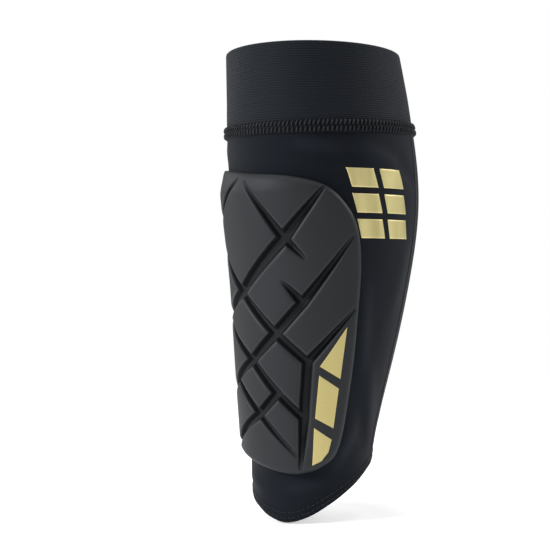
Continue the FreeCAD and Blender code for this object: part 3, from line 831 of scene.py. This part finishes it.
def make_overlock():
    """Slanted overlock loops in two rows on the ridge, and the needle line between them."""
    girth = float(arc(180.0, RIDGE_FOOT) * 2)
    count = round(girth / LOOP_PITCH)
    middle = np.linspace(-180, 180, count, endpoint=False)[:, None]
    rows = []
    for low, high, slant in LOOP_ROWS:
        share = np.linspace(0, 1, 7)[None]
        height = blend(low, high, share)
        angle = middle + slant * (share - 0.5) * 360 / count + 0.10 * np.sin(middle * 3.3)
        bow = LOOP_BOW * np.sin(np.pi * share)
        rows.append((angle, ridge_level(angle, height), ridge_offset(height) + LOOP_LIFT + bow))
    loops = threads("overlock_loops", rows, LOOP_RADIUS)
    settle(loops, "cuff_join_seam", THREAD)
    share = np.linspace(0, 1, 5)[None]
    angle = middle + (share - 0.5) * 0.86 * 360 / count
    lift = ridge_offset(NEEDLE_HEIGHT) + STITCH_BOW * np.sin(np.pi * share)
    needle = threads("needle_line", [(angle, ridge_level(angle, NEEDLE_HEIGHT), lift)],
                     NEEDLE_RADIUS)
    settle(needle, "cuff_join_seam", THREAD)


STRIP_HALF = 2.2 * MM
STRIP_ROW = 0.32 * MM
STRIP_DOME = 0.30 * MM
LADDER_PITCH = 1.9 * MM
LADDER_RELIEF = 0.38 * MM
LADDER_SLANT = 0.8 * MM


def make_strip(name, node_name, angle_at, level_from, level_to):
    """Flatlock seam: a low rounded strip crossed by ladder threads, raised as slanted waves."""
    rows = int((level_to - level_from) / STRIP_ROW)
    level = np.linspace(level_from, level_to, rows)[:, None]
    across = np.linspace(-1, 1, 15)[None]
    radius = np.hypot(half_width(level) * math.cos(math.radians(angle_at)),
                      half_depth(level) * math.sin(math.radians(angle_at)))
    angle = angle_at + np.degrees(across * STRIP_HALF / radius)
    level = level + 0 * across
    dome = np.sqrt(np.clip(1 - across ** 4, 0, 1))
    ladder = np.abs(np.sin(np.pi * (level + np.abs(across) * LADDER_SLANT) / LADDER_PITCH))
    top = LAYER_GAP + dome * (STRIP_DOME + LADDER_RELIEF * ladder * np.abs(across) ** 0.3)
    ripple = slack(angle, level)
    piece = shell(name, angle, level, ripple + top, ripple + LAYER_GAP * 0.5)
    settle(piece, node_name, THREAD)


HEM_FOLD_FROM = 0.4 * MM
HEM_FOLD_TO = 14 * MM
HEM_FOLD_HALF = 0.6 * MM


def make_hem():
    """The fabric turned up inside the hem."""
    angle = all_round(220)
    share = np.linspace(0, 1, 16)[:, None]
    level = hem_level(angle)[None] + blend(HEM_FOLD_FROM, HEM_FOLD_TO, share)
    middle = slack(angle, level) - KNIT - LAYER_GAP - HEM_FOLD_HALF
    from_edge = np.minimum(level - level[0], level[-1] - level)
    swell = edge_swell(from_edge + 0.08 * MM, HEM_FOLD_HALF)
    piece = shell("hem_fold", angle, level, middle + swell, middle - swell, around=True)
    settle(piece, "hem_turn_up", FRONT_KNIT)


HEM_STITCHES = 78
HEM_ROWS = (2.85 * MM, 6.05 * MM)
HEM_STITCH_LIFT = 0.06 * MM
HEM_STITCH_RADIUS = 0.25 * MM


def make_hem_stitches():
    """Two rows of straight coverstitches that follow the hem line."""
    middle = np.linspace(-180, 180, HEM_STITCHES, endpoint=False)[:, None]
    share = np.linspace(-0.5, 0.5, 6)[None]
    angle = middle + share * 0.80 * 360 / HEM_STITCHES
    rows = []
    for rise in HEM_ROWS:
        level = hem_level(angle) + rise
        bow = STITCH_BOW * np.cos(np.pi * share)
        rows.append((angle, level, slack(angle, level) + HEM_STITCH_LIFT + bow))
    piece = threads("hem_cover_stitches", rows, HEM_STITCH_RADIUS)
    settle(piece, "hem_stitches", THREAD)


# ---------------------------------------------------------------- pad

def rim_side(start, end, count):
    """One side of the outline between two of its knots, at even spacing."""
    fine = outline_at(np.linspace(start, end, 600))
    length = unrolled(pad_angle(fine[:, 0]), pad_level(fine[:, 1]))
    run = np.append(0, np.cumsum(np.linalg.norm(np.diff(length, axis=0), axis=1)))
    at = np.linspace(0, run[-1], count)
    return np.stack([np.interp(at, run, fine[:, 0]), np.interp(at, run, fine[:, 1])], -1)


def pad_grid(columns, rows, margin=0.0):
    """Fills the outline from its four sides: the sum of both blends less the corners' blend."""
    knots = len(OUTLINE)
    top = rim_side(TOP_LEFT, TOP_RIGHT + knots, columns)[None]
    foot = rim_side(FOOT_LEFT, FOOT_RIGHT, columns)[None]
    left = rim_side(FOOT_LEFT, TOP_LEFT, rows)[:, None]
    right = rim_side(FOOT_RIGHT, TOP_RIGHT, rows)[:, None]
    u = np.linspace(0, 1, columns)[None, :, None]
    v = np.linspace(0, 1, rows)[:, None, None]
    place = (blend(foot, top, v) + blend(left, right, u)
             - blend(blend(foot[:, :1], foot[:, -1:], u), blend(top[:, :1], top[:, -1:], u), v))
    place = place * (1 - margin) + margin * place.mean((0, 1))
    return pad_angle(place[..., 0]), pad_level(place[..., 1])


def make_skin():
    """The moulded film: one surface over blocks and grooves, with its own thickness."""
    angle, level = pad_grid(244, 322)
    height, cut, rim_highlight, wall = pad_surface(arc(angle, level), level)
    # The marks carry painted light: shade in the grooves and on their walls, a highlight along the
    # rims.
    piece = shell("pad_moulded_skin", angle, level, height, height - SKIN,
                  marks={"groove_shade": cut, "wall": wall, "rim_highlight": rim_highlight})
    settle(piece, "pad_skin", PAD_FILM)


def make_web():
    """The thin hinge web that carries the blocks, flush with the pad's outline."""
    angle, level = pad_grid(70, 92)
    piece = shell("pad_hinge_web", angle, level, WEB_TOP, LAYER_GAP)
    settle(piece, "pad_web", WEB)


QUILT_PITCH = 22 * MM


def make_liner():
    """The quilted backing behind the pad, thinner along its stitched channels."""
    angle, level = pad_grid(120, 150, margin=0.05)
    s = arc(angle, level)
    edge = inside_rim(s, level)
    quilt = np.abs(np.sin(np.pi * (s + level) / QUILT_PITCH)
                   * np.sin(np.pi * (s - level) / QUILT_PITCH))
    half = (0.35 + 0.40 * quilt ** 0.35) * MM * np.clip((edge - 2 * MM) / (3 * MM), 0.35, 1)
    face = -KNIT - LAYER_GAP
    piece = shell("pad_quilted_liner", angle, level, face, face - 2 * half)
    settle(piece, "pad_liner", LINER_CLOTH)


BLOCK_INSET = 3.3 * MM
RIM_INSET = 2.2 * MM
UNDER_SKIN = 0.35 * MM
UNDER_GROOVE = 1.6 * MM
LEAST_BLOCK = 0.25 * MM
BLOCK_TURNS = np.linspace(0, 2 * np.pi, 144, endpoint=False)
TOWARDS = np.stack([np.cos(BLOCK_TURNS), np.sin(BLOCK_TURNS)], -1)
FAR = 1.0


def reach_to_edges(centre, corners):
    """How far each direction runs from the centre to the convex outline, less the inset."""
    reach = np.full(len(BLOCK_TURNS), FAR)
    for start, end in zip(corners, np.roll(corners, -1, 0)):
        run = end - start
        normal = np.array([run[1], -run[0]]) / np.hypot(*run)
        if normal @ (centre - start) > 0:
            normal = -normal
        room = normal @ (start - centre) - BLOCK_INSET
        facing = TOWARDS @ normal
        hit = np.where(facing > 1e-6, room / np.where(facing > 1e-6, facing, 1), FAR)
        reach = np.minimum(reach, np.where(hit > 0, hit, reach))
    return reach


def reach_to_rim(centre):
    """How far each direction runs from the centre to the pad's outline, less the rim's inset."""
    direction = TOWARDS[:, None]
    start, end = RIM_FLAT[None], np.roll(RIM_FLAT, -1, 0)[None]
    run, gap = end - start, start - centre
    bottom = direction[..., 0] * run[..., 1] - direction[..., 1] * run[..., 0]
    bottom = np.where(np.abs(bottom) < 1e-12, 1e-12, bottom)
    along = (gap[..., 0] * run[..., 1] - gap[..., 1] * run[..., 0]) / bottom
    share = (gap[..., 0] * direction[..., 1] - gap[..., 1] * direction[..., 0]) / bottom
    hit = np.where((share >= 0) & (share <= 1) & (along > 0), along, FAR)
    return hit.min(1) - RIM_INSET


SAMPLE = np.stack(np.meshgrid(np.linspace(-1, 1, 81), np.linspace(0, 1, 81)), -1).reshape(-1, 2)


def inside_loop(points, loop):
    """Whether each point is inside the closed outline, by the crossings of a level ray."""
    x, y = points[:, None, 0], points[:, None, 1]
    (x1, y1), (x2, y2) = loop.T[:, None], np.roll(loop, -1, 0).T[:, None]
    meets = (x2 - x1) * (y - y1) / np.where(y2 == y1, 1, y2 - y1) + x1
    crosses = ((y1 > y) != (y2 > y)) & (x < meets)
    return crosses.sum(1) % 2 == 1


def make_block(name):
    """A foam block: its outline drawn in from the grooves, a rounded top under the skin."""
    places = BLOCKS[name].split()
    corners = np.array([PLACES[place] for place in places])
    within = SAMPLE[inside_loop(SAMPLE, corners) & inside_loop(SAMPLE, RIM)]
    centre = flat(tuple(within.mean(0)))
    corners = np.array([flat(place) for place in places])
    reach = np.minimum(reach_to_edges(centre, corners), reach_to_rim(centre))
    reach = np.maximum(reach, 1.0 * MM)[None]
    dome = np.linspace(0.04, 0.90, 34)
    shares = np.concatenate([dome, [0.94, 0.98, 1.0, 1.0, 0.98, 0.6, 0.2]])[:, None]
    lowered = np.concatenate([0 * dome, [0.15, 0.45, 0.9]])[:, None] * MM
    s = centre[0] + shares * reach * np.cos(BLOCK_TURNS)
    t = centre[1] + shares * reach * np.sin(BLOCK_TURNS)
    skin_top, cut = pad_surface(s, t)[:2]
    top = skin_top - SKIN - UNDER_SKIN - UNDER_GROOVE * ease(cut / SHALLOW)
    top = np.maximum(top[:len(lowered)] - lowered, WEB_TOP + LEAST_BLOCK)
    foot = np.full((4, len(BLOCK_TURNS)), WEB_TOP + LAYER_GAP)
    foot[0] += 0.12 * MM
    height = np.concatenate([top, foot])
    points = leg(unroll(s, t), t, height)[::-1]
    piece = closed_rings(name + "_foam", points)
    settle(piece, name, FOAM)


def make_inlay(name):
    """A gold tile bedded on the wing block: its outline scaled toward its middle, rounded edge."""
    corners = np.array([flat(c) for c in INLAYS[name]])
    share = np.linspace(0, 1, 20, endpoint=False)[:, None]
    outline = np.concatenate([blend(start, end, share)
                              for start, end in zip(corners, np.roll(corners, -1, 0))])
    if np.cross(corners[1] - corners[0], corners[2] - corners[1]) < 0:
        outline = outline[::-1]
    centre = corners.mean(0)
    shares = np.array([0.15, 0.4, 0.65, 0.85, 0.95, 0.985, 1.0, 1.0, 0.6, 0.15])[:, None]
    rise = np.array([0.40] * 4 + [0.39, 0.36, 0.26] + [-0.30] * 3)[:, None] * MM
    s = blend(centre[0], outline[None, :, 0], shares)
    t = blend(centre[1], outline[None, :, 1], shares)
    points = leg(unroll(s, t), t, pad_surface(s, t)[0] + rise)[::-1]
    uv = np.stack([s, t], -1)[::-1].reshape(-1, 2)
    uv = np.concatenate([uv, uv[:1], uv[-1:]])
    piece = closed_rings(name + "_film", points, uv)
    settle(piece, name, INLAY_GOLD)


# The emblem's tiles: angles in degrees, heights in shares of the pad's.
EMBLEM_FIRST = PAD_WRAP - 4.0
EMBLEM_LOW = 0.765
TILE_WRAP, TILE_RISE, TILE_LEAN = 17.0, 0.062, -3.0
COLUMN_STEP, ROW_STEP = 21.0, 0.082


def make_emblem():
    """Six foil tiles in two leaning columns: each a patch between four corners on the sleeve."""
    u = np.linspace(0, 1, 22)[None]
    v = np.linspace(0, 1, 16)[:, None]
    points, places, faces = [], [], []
    for column in range(2):
        for row in range(3):
            left = EMBLEM_FIRST + column * COLUMN_STEP + (row - 1) * TILE_LEAN
            low = EMBLEM_LOW + row * ROW_STEP
            angle = left + u * TILE_WRAP + v * TILE_LEAN
            level = pad_level(low + v * TILE_RISE) + 0 * u
            rim = np.minimum(np.minimum(u, 1 - u) * 21, np.minimum(v, 1 - v) * 15)
            rise = (0.12 + 0.16 * np.minimum(1.0, rim)) * MM
            ripple = slack(angle, level)
            faces += wall_faces(*level.shape, first=len(points) * level.size)
            points += [leg(angle, level, ripple + rise), leg(angle, level, ripple + 0.03 * MM)]
            places += [unrolled(angle, level)] * 2
    piece = lay_mesh("side_foil_tiles", np.stack(points), faces, np.stack(places))
    settle(piece, "side_emblem", EMBLEM_FOIL)


# ---------------------------------------------------------------- build

make_panel("front_panel", FRONT_KNIT, -SEAM_ANGLE, SEAM_ANGLE, 200, 205)
make_panel("calf_panel", CALF_KNIT, SEAM_ANGLE + SEAM_GAP,
           360 - SEAM_ANGLE - SEAM_GAP, 120, 205)
make_cuff()
make_ridge()
make_overlock()
for side, angle_at in (("left", -SEAM_ANGLE), ("right", SEAM_ANGLE)):
    hem_here = float(hem_level(angle_at))
    make_strip(side + "_flatlock", side + "_panel_seam", angle_at, hem_here + 7.3 * MM,
               float(ridge_level(angle_at, -0.1 * MM)))
make_strip("cuff_back_flatlock", "cuff_back_seam", 180.0,
           float(ridge_level(180.0, RIDGE_HEIGHT + 0.2 * MM)), SLEEVE_TOP - 0.4 * MM)
make_hem()
make_hem_stitches()
make_skin()
make_web()
make_liner()
for block in BLOCKS:
    make_block(block)
for inlay in INLAYS:
    make_inlay(inlay)
make_emblem()

# ---------------------------------------------------------------- studio

VIEW_TURN = math.radians(45.0)
RIGHTWARD = np.array([math.cos(VIEW_TURN), math.sin(VIEW_TURN), 0.0])
TOWARDS_VIEWER = np.array([math.sin(VIEW_TURN), -math.cos(VIEW_TURN), 0.0])
TARGET = np.array([0.0, 0.0, 0.149]) - RIGHTWARD * 0.0231
VIEW_DISTANCE = 0.870
LENS = 91.1
FLOOR_RIM = 1.3
FLOOR_LEVEL = -0.6 * MM
FLOOR_GLOW = 0.32
WORLD_LIGHT = 0.30
# Each light: right of the guard, towards the viewer and up, its width (all in metres), its watts.
LIGHTS = {
    "key_left": (-1.6, 0.85, 0.95, 0.6, 34.0),
    "fill_right": (1.8, -0.15, 1.0, 0.7, 13.0),
    "rim_right": (1.5, -0.45, 1.3, 0.7, 8.0),
    "rim_left": (-1.3, -0.7, 0.6, 0.7, 5.0),
    "overhead": (-0.2, 0.1, 2.1, 1.4, 22.0),
}


def aim(thing, place, target):
    """Turns a camera or light so that its -Z looks from the place to the target."""
    thing.location = place
    look = Vector(target) - Vector(place)
    thing.rotation_euler = look.to_track_quat("-Z", "Y").to_euler()


def make_floor():
    """A wide flat disc just under the hem, pale and matt, thinned out towards its rim."""
    radius = np.array([0.3, 0.7, FLOOR_RIM])[:, None]
    turn = np.linspace(0, 2 * np.pi, 64, endpoint=False)[None]
    rings = np.stack([radius * np.cos(turn), radius * np.sin(turn),
                      np.full((3, 64), FLOOR_LEVEL)], -1)
    points = np.concatenate([rings.reshape(-1, 3), [[0, 0, FLOOR_LEVEL]]])
    ring = np.arange(64)
    fan = np.stack([np.full(64, 3 * 64), ring, np.roll(ring, -1)], -1).tolist()
    floor = lay_mesh("studio_floor", points,
                     grid_faces(3, 64, 0, True)[:, ::-1].tolist() + fan)
    material, wire = start_finish("pale_floor", Specular_IOR_Level=0.1,
                                  Emission_Color=(1, 1, 1, 1), Emission_Strength=FLOOR_GLOW)
    cloud = mottle(wire, 3.0)
    shader = finish_surface(wire, (0.95,) * 3, (0.97,) * 3, cloud, cloud * 0.05 + 0.85)
    place = object_place(wire)
    reach = wire.node("ShaderNodeVectorMath", {"operation": "LENGTH"}, {0: place}, "Value")
    cover = 1.0 - reach.clipped(0.32, 1.25)
    wire.tree.links.new(cover.socket, shader.inputs["Alpha"])
    floor.data.materials.append(material)


def make_light(name, right, towards, up, width, power):
    """A square soft light aimed at the guard's middle, placed in the viewer's directions."""
    data = bpy.data.lights.new(name, "AREA")
    data.size, data.energy = width, power
    light = bpy.data.objects.new(name, data)
    bpy.context.scene.collection.objects.link(light)
    place = RIGHTWARD * right + TOWARDS_VIEWER * towards + np.array([0, 0, up])
    aim(light, place, (0, 0, 0.14))


def make_studio():
    """White behind the scene but dimmer as a light, five soft lights, and the camera."""
    world = bpy.data.worlds.new("studio")
    bpy.context.scene.world = world
    world.use_nodes = True
    tree = world.node_tree
    background = tree.nodes["Background"]
    background.inputs["Color"].default_value = (1, 1, 1, 1)
    seen = Wire(tree, None).node("ShaderNodeLightPath", {}, {}, "Is Camera Ray")
    tree.links.new((seen * (1.0 - WORLD_LIGHT) + WORLD_LIGHT).socket, background.inputs["Strength"])
    for name, setting in LIGHTS.items():
        make_light(name, *setting)
    data = bpy.data.cameras.new("viewer")
    data.lens = LENS
    camera = bpy.data.objects.new("viewer", data)
    bpy.context.scene.collection.objects.link(camera)
    aim(camera, TARGET + TOWARDS_VIEWER * VIEW_DISTANCE, TARGET)
    bpy.context.scene.camera = camera
    bpy.context.scene.view_settings.view_transform = "Standard"


make_floor()
make_studio()
